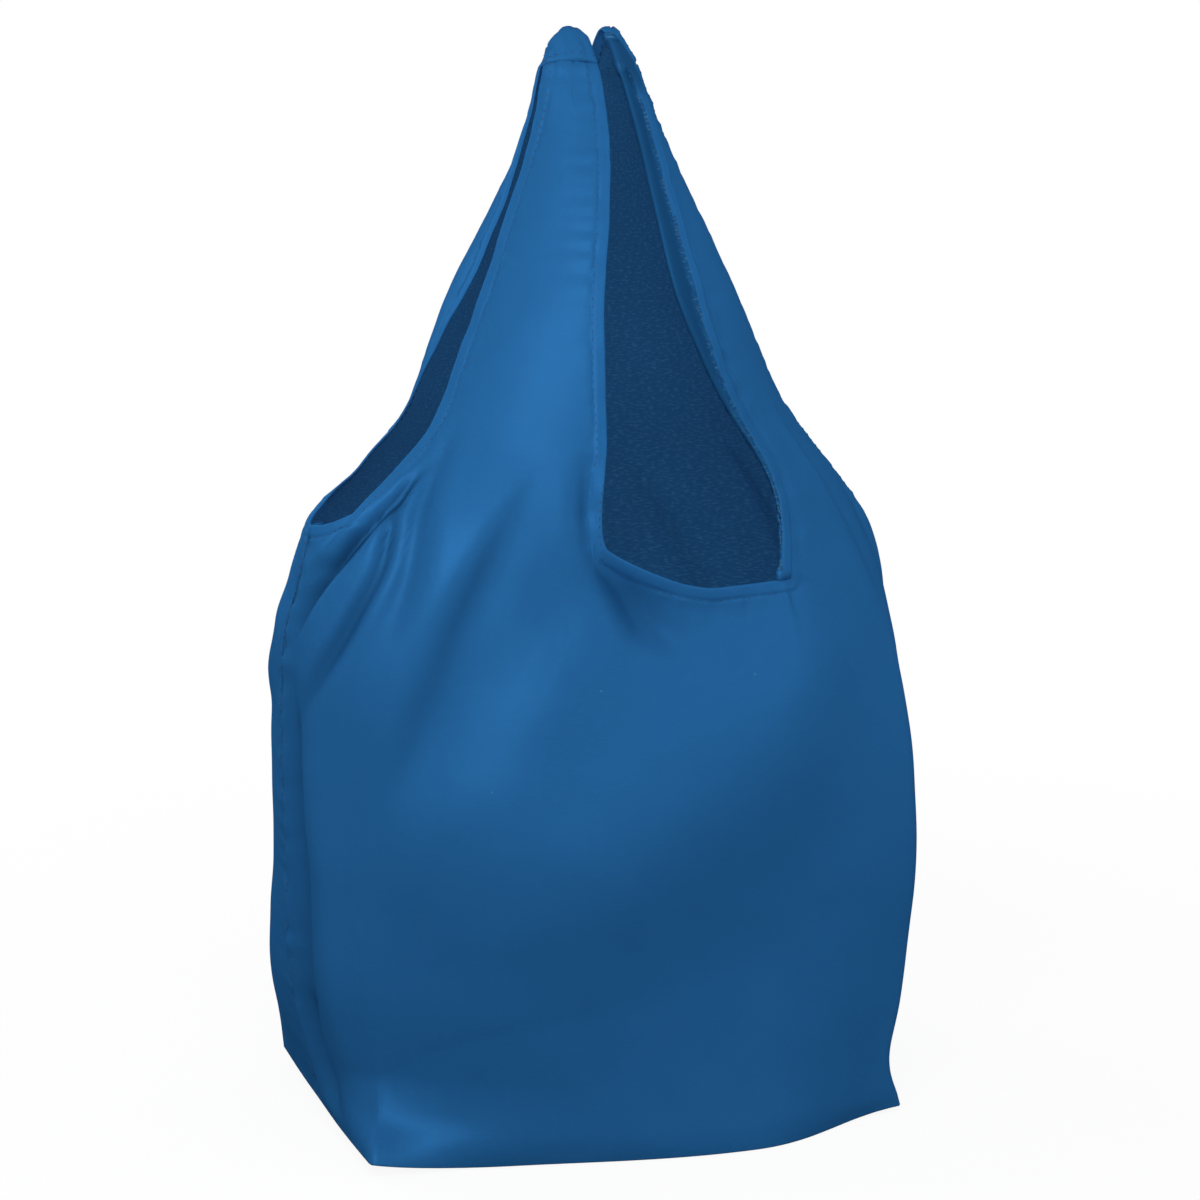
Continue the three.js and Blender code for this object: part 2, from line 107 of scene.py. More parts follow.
# Side openings: height, how far a leg stays from the seam's line, the same for the left back leg
OPENING_WIDTHS = [
    (SHOULDER_HEIGHT, 0.14, 0.14),
    (ARM_HEIGHT - 25, 0.16, 0.16),
    (ARM_HEIGHT + 20, 0.12, 0.08),
    (LEG_HEIGHT, 0.12, -0.04),
    (NECK_HEIGHT - 50, 0.1, -0.05),
    (NECK_HEIGHT, 0.12, -0.05),
    (TOP_HEIGHT, 0.12, -0.06),
]

# Legs' edges beside the scoop: height, left leg's, right leg's, width of the right one's rolled edge
FRONT_EDGES = [
    (SCOOP_LOW, -0.215, 0.232, 7),
    (ARM_HEIGHT - 23, -0.215, 0.292, 7.5),
    (ARM_HEIGHT + 20, -0.25, 0.195, 11.5),
    (LEG_HEIGHT, -0.26, 0.1, 17),
    (NECK_HEIGHT - 32, -0.19, 0.115, 15),
    (NECK_HEIGHT + 13, -0.08, 0.19, 13),
    (TOP_HEIGHT - 14, -0.045, 0.19, 8),
    (TOP_HEIGHT, -0.03, 0.18, 2),
]
BACK_EDGES = [
    (BACK_SCOOP_LOW, -0.16, 0.16, 0),
    (ARM_HEIGHT + 20, -0.16, 0.13, 0),
    (LEG_HEIGHT, -0.15, 0.09, 0),
    (NECK_HEIGHT - 32, -0.14, 0.06, 0),
    (NECK_HEIGHT + 13, -0.14, 0.05, 0),
    (TOP_HEIGHT, -0.19, 0.05, 0),
]

# How far the sides stand out from the plain sections: height, left seam, left back, right
SIDE_SHIFTS = [
    (0, 0, 0, 0),
    (22, -1, 0, -3),
    (60, -1, 2.5, -5),
    (100, -2, -0.5, -1.5),
    (130, -4, -5, -1.5),
    (175, -2, -6, -4),
    (215, 0, -2.5, -3),
    (240, -2, 0.5, -2.5),
    (270, -6, -5, -1.5),
    (290, -10, -10, -1.5),
    (308, -8, -8, -1),
    (SHOULDER_HEIGHT, -3, -4, -1),
    (350, 0, -7, 2.5),
    (ARM_HEIGHT, 0, -5, 7),
    (400, 0, -1, 9),
    (LEG_HEIGHT, 0, 0, 6.5),
    (475, 0, -2.5, 5),
    (NECK_HEIGHT, 0, -4.5, 3),
    (TOP_HEIGHT, 0, -4, -2),
]

# Folds, from their upper ends: kind, points as (place, height), depth, half width, reach of the flanks.
# A valley is a narrow groove, a ridge a soft swell (below 0 a dip), an edge a crest with long flanks.
# A pleat stands up on its right of the line and lies low on its left; below 0 the other way round.
FRONT_FOLDS = [
    ("valley", [(-0.75, 350), (-0.775, 330), (-0.81, 313), (-0.85, 300), (-0.89, 288),
                (-0.93, 274), (-0.95, 262)], 9, 6.5, 0),
    ("valley", [(-0.78, 352), (-0.735, 333), (-0.685, 308), (-0.705, 290), (-0.74, 270),
                (-0.82, 240), (-0.86, 222)], 4.8, 5, 0),
    ("valley", [(-0.74, 365), (-0.675, 338), (-0.62, 310), (-0.615, 285), (-0.63, 262)], 4.5, 8, 0),
    ("pleat", [(-0.43, 340), (-0.455, 309), (-0.48, 285), (-0.51, 256), (-0.545, 226),
               (-0.58, 185)], -9, 10, 50),
    ("ridge", [(0.36, 262), (0.23, 228), (0.09, 194), (-0.065, 163), (-0.25, 136),
               (-0.5, 114)], 14, 52, 0),
    ("ridge", [(0.22, 275), (0.0, 268), (-0.2, 282), (-0.34, 300)], -6, 36, 0),
    ("ridge", [(-0.14, 288), (-0.21, 260), (-0.3, 222), (-0.41, 182), (-0.51, 148)], 4, 25, 0),
    ("valley", [(-0.27, 352), (-0.225, 335), (-0.19, 319), (-0.13, 296), (-0.055, 272),
                (0.02, 252)], 9.5, 10, 0),
    ("valley", [(-0.84, 306), (-0.89, 304), (-0.95, 302)], 2.6, 4, 0),
    ("edge", [(-0.78, 270), (-0.785, 216), (-0.76, 174), (-0.72, 150), (-0.705, 106),
              (-0.715, 50), (-0.63, 12)], 9, 6, 36),
    ("valley", [(-0.91, 238), (-0.9, 205), (-0.885, 175), (-0.865, 140), (-0.86, 60),
                (-0.84, 15)], 11.5, 16, 0),
    ("valley", [(-0.92, 75), (-0.86, 36), (-0.78, 14)], 6, 10, 0),
    ("valley", [(-0.72, 26), (-0.555, 24), (-0.435, 23), (-0.3, 26)], 1.6, 8, 0),
    ("pleat", [(0.56, 372), (0.56, 335), (0.56, 300), (0.6, 250)], -4.0, 8, 18),
    ("pleat", [(0.78, 330), (0.78, 300), (0.82, 270), (0.86, 235)], 4.0, 6, 14),
    ("valley", [(0.72, 220), (0.69, 150), (0.66, 40)], 2.5, 14, 0),
]
BACK_FOLDS = [
    ("pleat", [(-0.77, 340), (-0.82, 312), (-0.88, 290), (-0.94, 255)], 6.5, 5.5, 13),
    ("pleat", [(-0.68, 345), (-0.70, 300), (-0.76, 245)], 5, 6, 14),
    ("pleat", [(-0.36, 330), (-0.42, 290), (-0.5, 240), (-0.54, 195)], 6, 13, 32),
    ("pleat", [(0.77, 340), (0.82, 312), (0.88, 290), (0.94, 255)], -6, 5, 13),
    ("pleat", [(0.66, 345), (0.68, 300), (0.74, 245)], -4.5, 6, 14),
    ("pleat", [(0.3, 330), (0.36, 290), (0.45, 240)], -5, 13, 32),
    ("ridge", [(0.3, 250), (0.0, 215), (-0.4, 160)], 5, 34, 0),
    ("pleat", [(0.1, 330), (0.06, 308), (0.0, 285)], -4, 6, 14),
    ("valley", [(0.5, 48), (0.3, 40), (0.1, 36)], 2, 9, 0),
]

FRONT = {"name": "front", "side": 1, "bow": FRONT_BOTTOM_BOW, "bow_place": 0.2,
         "edges": FRONT_EDGES, "folds": FRONT_FOLDS, "low": SCOOP_LOW,
         "left": SCOOP_LEFT_HEIGHT, "right": SCOOP_LOW, "seed": 11}
BACK = {"name": "back", "side": -1, "bow": BACK_BOTTOM_BOW, "bow_place": 0.0,
        "edges": BACK_EDGES, "folds": BACK_FOLDS, "low": BACK_SCOOP_LOW,
        "left": BACK_SCOOP_LOW + BACK_SCOOP_RISE,
        "right": BACK_SCOOP_LOW + BACK_SCOOP_RISE, "seed": 23}

# Cloth, hems and thread, in millimetres
CLOTH_THICKNESS = 0.5
HEM_WIDTH = 6.5
HEM_THICKNESS = 1.1
HEM_RISE = 0.2
LIP_WIDTH = 1.0
LIP_DEPTH = 0.5
GROOVE_DEPTH = 0.7
GROOVE_WIDTH = 0.6
LAPEL_GAP = 2.8
LAPEL_END_GAP = 1.8
LAPEL_FOOT = 315
LAPEL_FOOT_SHARE = 0.25
LAPEL_TAPER = 60
LAPEL_SHARES = (0.12, 0.24, 0.36, 0.48, 0.58, 0.67, 0.75, 0.82, 0.88, 0.93, 0.97, 1.0)
STITCH_PITCH = 4.2
STITCH_LENGTH = 2.8
THREAD_RADIUS = 0.33
STITCH_HEIGHT = 0.85

# The material of a hem's faces; the one after it is for the other side of the cloth there.
HEM_SLOT = 2

# How fine the mesh is, in millimetres: steps from a hem, a seam and the foot, the pitch of the rest
HEM_STEPS = [0, 0.6, 1.4, 2.4, 3.6, 4.8, 5.7, 6.5, 7.3, 8.6, 10.4, 12.6]
SEAM_STEPS = [0, 0.7, 1.6, 2.8, 4.2, 5.8, 7.6, 9.6, 12.2, 15]
FOOT_STEPS = [0, 0.7, 1.6, 2.8, 4.4, 6.4]
PITCH = 2.7

# Rows of a leg and over the top of a loop, and in millimetres the half depth that a loop counts as at
# least, the steps along a free edge, and how near points are when they are welded
LEG_ROWS = 86
TOP_ROWS = 10
LEAST_LOOP_DEPTH = 6
EDGE_STEP = 0.8
WELD = 0.01

# The front legs' ends turn in behind the back's: how far up, how far in, in millimetres
TURNED_IN = ((1.0, 0.7), (3.0, 0.9), (5.0, 0.9))

# What is done to the cloth at a point: hems and folds, a rolled edge, sewn under other cloth, nothing
SOFT, ROLLED, SEWN_OVER, PLAIN = range(4)

# Waves of the cloth in millimetres: how high, and the lengths of the shortest and the longest
SLACK_WAVES = (0.8, 70, 160)
FINE_WAVES = (0.2, 20, 50)
HEM_WAVES = (0.35, 12, 40)
HEM_PUCKERS = (0.8, 5, 11)
SEAM_PUCKERS = (0.8, 6, 16)
LOOP_GATHERS = (0.3, 4, 9)
PUCKERED_PLACE = 0.15
SEAM_TOP = 320

# How dark the painted shade makes the rolled edge inside its bend, and near the top of its loop, as a
# share of a shut fold
ROLL_SHADE = 0.6
LOOP_SHADE = 0.85

# The weave and its slubs, the thick places in its yarn, are drawn coarser than the real four threads a
# millimetre, so that they show at all. Sizes in millimetres.
WEAVE_PITCH = 0.9
SLUBS_PER_MM = 0.95
SLUB_STRETCH = 0.24
CLOUD_SIZE = 22.2
DUST_SPACING = 26.3

# The line pressed beside each corner: how far in from it, its lean, half width, and where it ends
PRESSED_INSET = 2
PRESSED_LEAN = 0.073
PRESSED_WIDTH = 1.1
PRESSED_UP_TO = (200, 270)

# The room, in metres and watts: each lamp's place, what it is aimed at, and its power
LAMPS = {
    "key": ((-0.34, -0.8, 0.8), (0, 0, 0.38), 4.1),
    "left": ((-0.9, -0.75, 0.7), (0, 0, 0.42), 0.8),
    "right": ((0.9, -0.6, 1.0), (0, 0, 0.42), 1.0),
    "back": ((-0.55, 0.85, 0.8), (0, 0, 0.42), 3.0),
}
LAMP_SIZE = 0.6
ROOM_LIGHT = 0.47
FLOOR_DROP = 0.0006
FLOOR_GLOW = 0.92
FLOOR_FADE = (0.35, 0.95)

# The camera, from the photograph: how far round and up in degrees, its distance and aim in metres
CAMERA_TURN = -19.3
CAMERA_RISE = 9.6
CAMERA_AWAY = 1.4
CAMERA_AIM_HEIGHT = 0.27
CAMERA_LENS = 78.54
CAMERA_SHIFT = 0.01


def clamp01(x):
    """Kept between 0 and 1."""
    return np.clip(x, 0, 1)


def ease(x):
    """A soft step from 0 to 1."""
    return clamp01(x) ** 2 * (3 - 2 * clamp01(x))


def mix(a, b, t):
    """From a to b by a share."""
    return a + (b - a) * t


def smooth_row(rows, height):
    """A smooth curve through rows of (height, value, value, ...), read at an array of heights."""
    rows = np.asarray(rows, float)
    at, values = rows[:, 0], rows[:, 1:]
    span = np.diff(at)
    rise = np.diff(values, axis=0) / span[:, None]
    slope = np.empty_like(values)
    slope[0], slope[-1] = rise[0], rise[-1]
    before, after = span[:-1, None], span[1:, None]
    slope[1:-1] = (rise[:-1] * after + rise[1:] * before) / (before + after)
    height = np.asarray(height, float)
    k = np.clip(np.searchsorted(at, height) - 1, 0, len(span) - 1)
    t = clamp01((height - at[k]) / span[k])[..., None]
    keep = 1 - 3 * t**2 + 2 * t**3
    leave = (t**3 - 2 * t**2 + t) * span[k][..., None]
    arrive = (t**3 - t**2) * span[k][..., None]
    return mix(values[k + 1], values[k], keep) + leave * slope[k] + arrive * slope[k + 1]


def side_shift(panel, place, height):
    """How far a side is drawn outwards at a height; the two panels agree along their seams."""
    seam, left_back, right = np.moveaxis(smooth_row(SIDE_SHIFTS, height), -1, 0)
    share = np.abs(place)
    wide = ease((share - 0.3) / 0.4)
    by_seam = ease((share - 0.8) / 0.2)
    left = mix(left_back * wide, seam, by_seam) if panel is BACK else seam * by_seam
    return np.where(on_right(panel, place), right * wide, left)


def cloth_point(panel, place, section, height):
    """Points on the outside of the smooth cloth, before its folds."""
    place, section, height = np.broadcast_arrays(place, section, height)
    width, depth, square, pointed, twist = np.moveaxis(smooth_row(SECTIONS, section), -1, 0)
    rise = clamp01((section - NECK_HEIGHT) / (TOP_HEIGHT - NECK_HEIGHT))
    loop_depth = NECK_DEPTH / 2 * np.sqrt(1 - rise) * (1 - 0.3 * rise)
    depth = np.where(section > NECK_HEIGHT, loop_depth, depth)
    if panel is FRONT:
        square = square * (1 - LEFT_SLACK * ease(height / SLACK_HEIGHT) * ease(-place / CREASE))
    share = np.abs(place)
    angle = place * np.pi / 2
    box_x = np.sign(place) * np.minimum(1, share / CREASE)
    box_y = -np.minimum(1, (1 - share) / (1 - CREASE))
    lens_x = place * (1.25 - 0.25 * place**2)
    lens_y = place**2 - 1
    rounded = 1 - square - pointed
    x = width * (square * box_x + rounded * np.sin(angle) + pointed * lens_x)
    y = depth * (square * box_y - rounded * np.cos(angle) + pointed * lens_y)
    bow_place = panel["bow_place"]
    to_crease = np.where(place < bow_place, CREASE + bow_place, CREASE - bow_place)
    bow_share = 0.5 + 0.5 * np.cos(np.pi * clamp01(np.abs(place - bow_place) / to_crease))
    y = y - panel["bow"] * bow_share * clamp01(1 - height / BOW_HEIGHT) ** 2
    if panel is FRONT:
        tucked = clamp01(1 - height / TUCK_HEIGHT) ** 2 * clamp01(1 - (place / CREASE) ** 4)
        y = y + TUCK * tucked
        near = np.exp(-(((height - CORNER_PULL_HEIGHT) / CORNER_PULL_HEIGHT) ** 2))
        at_corner = clamp01(place / CREASE) ** 3 * clamp01((1 - place) / (1 - CREASE))
        x = x - CORNER_PULL * near * at_corner
    x = x + np.sign(place) * side_shift(panel, place, section)
    turn = np.radians(twist)
    c, s = np.cos(turn) * panel["side"], np.sin(turn) * panel["side"]
    return np.stack([x * c - y * s, x * s + y * c, height], -1)


def on_right(panel, place):
    """The right of the bag is the right of the front panel and the left of the back panel."""
    return np.asarray(place) * panel["side"] > 0


def foot_height(panel, place):
    """Height of the base's edge: the corners are drawn up a little."""
    lift = np.where(on_right(panel, place), RIGHT_CORNER_LIFT, LEFT_CORNER_LIFT)
    flat = BASE_FLAT_WIDTH / BASE_WIDTH
    return lift * clamp01((np.abs(place) / CREASE - flat) / (1 - flat)) ** 2


def opening_foot(panel, place):
    """Height of the lower end of a side opening."""
    return SHOULDER_HEIGHT - np.where(on_right(panel, place), RIGHT_SHOULDER_DROP, 0)


def body_top(panel, place):
    """Height where the body ends: at the side openings, the legs' feet or the hem of the scoop."""
    place = np.asarray(place, float)
    _, left, right, _ = panel["edges"][0]
    rounding = clamp01((1 - np.abs(place)) / OPENING_END_SHARE) ** 2
    shoulder = opening_foot(panel, place) + OPENING_END_RISE * rounding
    outer = 1 - OPENING_END_SHARE
    left_leg = mix(shoulder, panel["left"], ease((place + outer) / (left + outer)))
    right_leg = mix(panel["right"], shoulder, ease((place - right) / (outer - right)))
    across = clamp01((place - left) / (right - left))
    if panel is BACK:
        scoop = mix(panel["left"], panel["low"], np.sqrt(1 - (2 * across - 1) ** 2))
    else:
        slope = SCOOP_SLOPE * clamp01(1 - across / 0.65) ** 1.6
        corner = (panel["left"] - panel["low"] - SCOOP_SLOPE) * clamp01(1 - across / 0.1) ** 2
        scoop = panel["low"] + slope + corner
    return np.where(place <= left, left_leg, np.where(place >= right, right_leg, scoop))


def opening_share(panel, sign, height):
    """Half the width of a side opening, as a share of a quarter of the way round."""
    drop = SHOULDER_HEIGHT - opening_foot(panel, sign)
    shares = smooth_row(OPENING_WIDTHS, height + drop - OPENING_END_RISE)
    return shares[..., 1] if panel is BACK and sign > 0 else shares[..., 0]


def lobe_drop(place, section):
    """The top of each loop is a rounded lobe, lower at its two edges."""
    out = np.abs(place) - LOBE_PLACE
    outer = HANDLE_EDGE_DROP * (out / (1 - LOBE_PLACE)) ** 2
    inner = HANDLE_NOTCH_DROP * (out / LOBE_PLACE) ** 2
    rise = (section - TOP_HEIGHT) / LOBE_RISE + 1
    return (np.where(out > 0, outer, inner) - LOBE_LIFT) * ease(rise)


def spread(length, steps_from, steps_to, count):
    """Shares from 0 to 1 of a length: fixed steps in millimetres at both ends, even ones between."""
    squeeze = min(1.0, 0.4 * length / max(steps_from[-1], steps_to[-1]))
    start = np.array(steps_from) * squeeze / length
    end = 1 - np.array(steps_to)[::-1] * squeeze / length
    return np.concatenate([start[:-1], np.linspace(start[-1], end[0], count + 1), end[1:]])


def count_for(length, steps_from, steps_to):
    """How many even steps of the mesh's pitch fit between the fixed ones."""
    return max(2, round((length - steps_from[-1] - steps_to[-1]) / PITCH))


def in_frame(points):
    """Points of the bag in millimetres, moved to the middle of the shared frame and in metres."""
    return (np.asarray(points) - (*MIDDLE, 0)) * MM


class Cloth:
    """One panel's mesh: grids of points that are welded, with each point's place and height kept."""

    def __init__(self, panel):
        self.panel = panel
        self.bm = bmesh.new()
        layers = self.bm.verts.layers
        self.place = layers.float.new("place")
        self.height = layers.float.new("height")
        self.painted_shade = layers.float.new("painted_shade")
        self.finish = layers.int.new("finish")
        layers.deform.verify()
        self.lines = []
        self.threads = []

    def sew(self, points):
        """Keeps a line of grid points along which the sewing thread will run."""
        self.lines.append(in_frame(points))

    def add_grid(self, points, places, heights, finish=SOFT):
        """A grid of cloth, with the place, the height and the finish of its points."""
        rows, columns = points.shape[:2]
        points = in_frame(points)
        places, heights, finish = (np.broadcast_to(part, (rows, columns))
                                   for part in (places, heights, finish))
        made = bmesh.ops.create_grid(self.bm, x_segments=columns - 1, y_segments=rows - 1, size=0.5)
        for vert in made["verts"]:
            i = round((vert.co.x + 0.5) * (columns - 1))
            j = round((vert.co.y + 0.5) * (rows - 1))
            vert.co = points[j, i]
            vert[self.place] = places[j, i]
            vert[self.height] = heights[j, i]
            vert[self.finish] = int(finish[j, i])


def panel_places(panel):
    """Places of the body's columns, and the column numbers where its zones meet."""
    _, left, right, _ = panel["edges"][0]
    outer = 1 - OPENING_END_SHARE
    zones = [(-SEAM_PLACE, -outer, SEAM_STEPS, HEM_STEPS), (-outer, left, HEM_STEPS, HEM_STEPS),
             (left, right, HEM_STEPS, HEM_STEPS), (right, outer, HEM_STEPS, HEM_STEPS),
             (outer, SEAM_PLACE, HEM_STEPS, SEAM_STEPS)]
    places, marks = [], [0]
    for start, end, near, far in zones:
        length = (end - start) * SHOULDER_QUARTER
        shares = spread(length, near, far, count_for(length, near, far))
        part = mix(start, end, shares)
        places.extend(part if not places else part[1:])
        marks.append(len(places) - 1)
    return np.array(places), marks


def leg_grid(panel, foot_places, is_left, over_top=False):
    """Rows of a handle leg from the body to the seam of its loop, or from that seam to the top."""
    first, last = foot_places[0], foot_places[-1]
    foot_shares = (foot_places - first) / (last - first)
    foot = body_top(panel, foot_places)
    seam = TOP_HEIGHT - HANDLE_SEAM_DROP
    end = seam if panel is FRONT else TOP_HEIGHT
    count = len(foot_places) - 2 * len(HEM_STEPS) + 1
    sign = -1 if is_left else 1

    def row(shares, section, on_panel=panel):
        edges = smooth_row(panel["edges"], section)
        outer = sign * (1 - opening_share(panel, sign, section))
        spot = mix(outer, edges[:, 0], shares) if is_left else mix(edges[:, 1], outer, shares)
        height = section - lobe_drop(spot, section)
        there = spot if on_panel is panel else -spot
        return cloth_point(on_panel, there, section, height), spot, height

    def shares_at(rise, middle):
        edges = smooth_row(panel["edges"], middle)
        outer = sign * (1 - float(opening_share(panel, sign, middle)))
        half_width, half_depth = smooth_row(SECTIONS, middle)[:2]
        around = 0.5 * np.pi * math.sqrt((half_width**2 + max(half_depth, LEAST_LOOP_DEPTH) ** 2) / 2)
        width = abs(outer - (edges[0] if is_left else edges[1])) * around
        return mix(foot_shares, spread(width, HEM_STEPS, HEM_STEPS, count), ease(rise * 5))

    at_seam, at_top = shares_at(1.0, float(seam)), shares_at(1.0, float(TOP_HEIGHT))
    level = np.ones(len(foot_places))
    if over_top:
        made = [row(at_seam, level * z) for z in np.linspace(seam + 2, TOP_HEIGHT - 3, 6)]
        return [np.array(part) for part in zip(*made)]
    made = [(cloth_point(panel, foot_places, foot, foot), foot_places, foot)]
    for rise in 1 - (1 - np.linspace(0, 1, LEG_ROWS)[1:]) ** 1.25:
        section = mix(foot, end, rise)
        made.append(row(shares_at(rise, float(section.mean())), section))
    if panel is BACK:
        for z in np.linspace(TOP_HEIGHT, seam + HANDLE_SEAM_GAP, TOP_ROWS)[1:]:
            points, spot, height = row(at_top, level * z, FRONT)
            made.append((points, spot, 2 * TOP_HEIGHT - height))
    else:
        across = np.gradient(made[-1][0], axis=0) * np.array([1, 1, 0])
        across /= np.linalg.norm(across, axis=1)[:, None]
        inwards = np.stack([-across[:, 1], across[:, 0], 0 * level], -1)
        for up, in_by in TURNED_IN:
            points, spot, height = row(at_seam, level * (seam + up))
            made.append((points + inwards * in_by, spot, height))
    points, spots, heights = (np.array(part) for part in zip(*made))
    finish = np.full(heights.shape, SOFT)
    finish[-2:] = SEWN_OVER
    return points, spots, heights, finish


def lapel_grid(rows, spots, heights):
    """The edge of the right front leg, rolled outwards to lie on the leg, and its line of stitches."""
    edge, further_in = rows[:, 0], rows[:, 4]
    across = (further_in - edge) * np.array([1, 1, 0])
    across /= np.linalg.norm(across, axis=1)[:, None]
    outwards = np.stack([across[:, 1], -across[:, 0], np.zeros(len(across))], -1)
    taper = mix(LAPEL_FOOT_SHARE, 1, ease((edge[:, 2] - LAPEL_FOOT) / LAPEL_TAPER))
    width = smooth_row(FRONT_EDGES, edge[:, 2])[:, 2]
    radius = LAPEL_GAP / 2 * taper

    def lying(share):
        lift = taper * mix(LAPEL_GAP, LAPEL_END_GAP, ease(share))
        return edge + across * np.reshape(width * share, (-1, 1)) + outwards * lift[:, None]

    columns, away = [], []
    for turn in np.linspace(0, math.pi, 7):
        back, out = radius * math.sin(turn), radius * (1 - math.cos(turn))
        columns.append(edge - across * back[:, None] + outwards * out[:, None])
        away.append(radius * turn)
    for share in LAPEL_SHARES:
        columns.append(lying(share))
        away.append(width * share + math.pi * radius)
    points = np.stack(columns[::-1], 1)
    places = spots[:, :1] - np.stack(away[::-1], 1) / QUARTER
    finish = np.full(places.shape, ROLLED)
    finish[-2:] = SEWN_OVER
    line = lying(clamp01(1 - HEM_WIDTH / width)) + outwards * CLOTH_THICKNESS
    return (points, places, heights[:, :1], finish), (in_frame(line)[3:], outwards[3:])


def base_grid(panel, places, body):
    """The panel's half of the base, in from the body's foot, with its depth as heights below 0."""
    start, end = (int(np.argmin(np.abs(places - corner))) for corner in (-CREASE, CREASE))
    foot = body[0, start:end + 1]
    lines = []
    for k in range(min(start, len(places) - 1 - end) + 1):
        share = 1 - body[0, start - k, 1] / body[0, start, 1]
        line = foot.copy()
        line[:, 1] = mix(line[:, 1], -panel["side"] * SEAM_GAP / 2, share)
        line[0], line[-1] = body[0, start - k], body[0, end + k]
        lines.append(line)
    base = np.array(lines[::-1])
    return base, places[start:end + 1], np.abs(base[..., 1]) - np.abs(foot[:, 1]), PLAIN


def add_seam_allowances(cloth, body, places, heights):
    """The cloth inside each side seam; it leans to the back, so that the seam is closed to the eye."""
    for column in (0, -1):
        seam = body[1:, column]
        inwards = -seam * np.array([1, 1, 0])
        inwards /= np.linalg.norm(inwards, axis=1)[:, None]
        leaning = inwards + np.array([0, SEAM_LEAN, 0])
        outs = [SEAM_ALLOWANCE, SEAM_ALLOWANCE / 2, 0]
        finish = [PLAIN, PLAIN, SOFT]
        if column:
            outs, finish = outs[::-1], finish[::-1]
        flange = np.stack([seam + leaning * out for out in outs], 1)
        cloth.add_grid(flange, places[column], heights[1:, column][:, None], finish)


def panel_cloth(panel):
    """The whole outside of one panel as a smooth welded sheet, with the lines to be sewn."""
    cloth = Cloth(panel)
    places, marks = panel_places(panel)
    foot, top = foot_height(panel, places), body_top(panel, places)
    count = round((SHOULDER_HEIGHT - HEM_STEPS[-1] - FOOT_STEPS[-1]) / PITCH)
    rows = []
    for low, high in zip(foot, top):
        rows.append(mix(low, high, spread(high - low, FOOT_STEPS, HEM_STEPS, count)))
    heights = np.array(rows).T
    body = cloth_point(panel, places, heights, heights)
    cloth.add_grid(body, places, heights)
    cloth.add_grid(*base_grid(panel, places, body))

    left_foot, right_foot = places[marks[1]:marks[2] + 1], places[marks[3]:marks[4] + 1]
    left_leg = leg_grid(panel, left_foot, True)
    right_leg = leg_grid(panel, right_foot, False)
    cloth.add_grid(*left_leg)
    cloth.add_grid(*right_leg)
    hem = HEM_STEPS.index(HEM_WIDTH)
    for leg in (left_leg[0], right_leg[0]):
        cloth.sew(leg[:, hem])
        cloth.sew(leg[:, -1 - hem])
        if panel is BACK:
            cloth.sew(leg[-3])
    cloth.sew(body[-1 - hem, marks[2]:marks[3] + 1])
    cloth.sew(body[-1 - hem, 3:marks[1] + hem + 1])
    cloth.sew(body[-1 - hem, marks[4] - hem:-3])
    cloth.sew(body[2:-hem, 2])
    cloth.sew(body[2:-hem, -3])
    if panel is FRONT:
        upper = leg_grid(panel, right_foot, False, over_top=True)
        turned_in = len(TURNED_IN)
        edge = [np.concatenate([low[:-turned_in], high]) for low, high in zip(right_leg, upper)]
        lapel, thread_line = lapel_grid(*edge)
        cloth.add_grid(*lapel)
        cloth.threads.append(thread_line)
    add_seam_allowances(cloth, body, places, heights)
    bmesh.ops.remove_doubles(cloth.bm, verts=cloth.bm.verts, dist=WELD * MM)
    return cloth


def rounded_path(path, times=2):
    """A path with its corners cut, so that a fold bends softly."""
    points = np.array(path, float) * (QUARTER, 1)
    for _ in range(times):
        start, end = points[:-1], points[1:]
        cut = np.stack([mix(start, end, 0.25), mix(start, end, 0.75)], 1).reshape(-1, 2)
        points = np.concatenate([points[:1], cut, points[-1:]])
    return points


def follow_path(path, u, v):
    """How far points lie from a fold's line, how far along it as a share, and on which side."""
    points = rounded_path(path)
    lengths = np.linalg.norm(np.diff(points, axis=0), axis=1)
    total = lengths.sum()
    nearest, along, on_side = np.full_like(u, np.inf), np.zeros_like(u), np.ones_like(u)
    done = 0.0
    for k, length in enumerate(lengths):
        a, d = points[k], (points[k + 1] - points[k]) / length
        low = -np.inf if k == 0 else 0
        high = np.inf if k == len(lengths) - 1 else length
        t = np.clip((u - a[0]) * d[0] + (v - a[1]) * d[1], low, high)
        away = np.hypot(u - a[0] - t * d[0], v - a[1] - t * d[1])
        closer = away < nearest
        nearest = np.where(closer, away, nearest)
        along = np.where(closer, (done + t) / total, along)
        side = np.sign(d[0] * (v - a[1]) - d[1] * (u - a[0]))
        on_side = np.where(closer, side, on_side)
        done += length
    return nearest, along, on_side


def fold_relief(folds, place, height):
    """How far the folds move the cloth outwards, and how much painted shade darkens it deep in a narrow
    fold, up to 1.
    """
    relief, painted_shade = np.zeros_like(place), np.zeros_like(place)
    for kind, path, depth, reach, run in folds:
        nearest, along, on_side = follow_path(path, place * QUARTER, height)
        # A fold grows at its start, dies away at its end, and widens on its way.
        fade = ease((along + 0.12) / 0.4) * ease((1.08 - along) / 0.45)
        across = nearest / (reach * (0.75 + 0.6 * clamp01(along)))
        if kind == "pleat":
            shape = on_side * np.tanh(across) * np.exp(-nearest / run)
        elif kind == "edge":
            shape = np.exp((reach - np.hypot(nearest, reach)) / run)
        elif kind == "ridge":
            shape = np.exp(-(across**2))
        else:
            banks = 0.12 * np.exp(-(((across - 2.0) / 0.9) ** 2))
            shape = banks - np.exp(-(across**1.8))
            # Painted shade: the middle of a deep, narrow valley is marked to be painted darker.
            painted_shade += fade * np.exp(-(across**2)) * clamp01(depth / reach - 0.35)
        relief += depth * fade * shape
    return relief, clamp01(painted_shade)


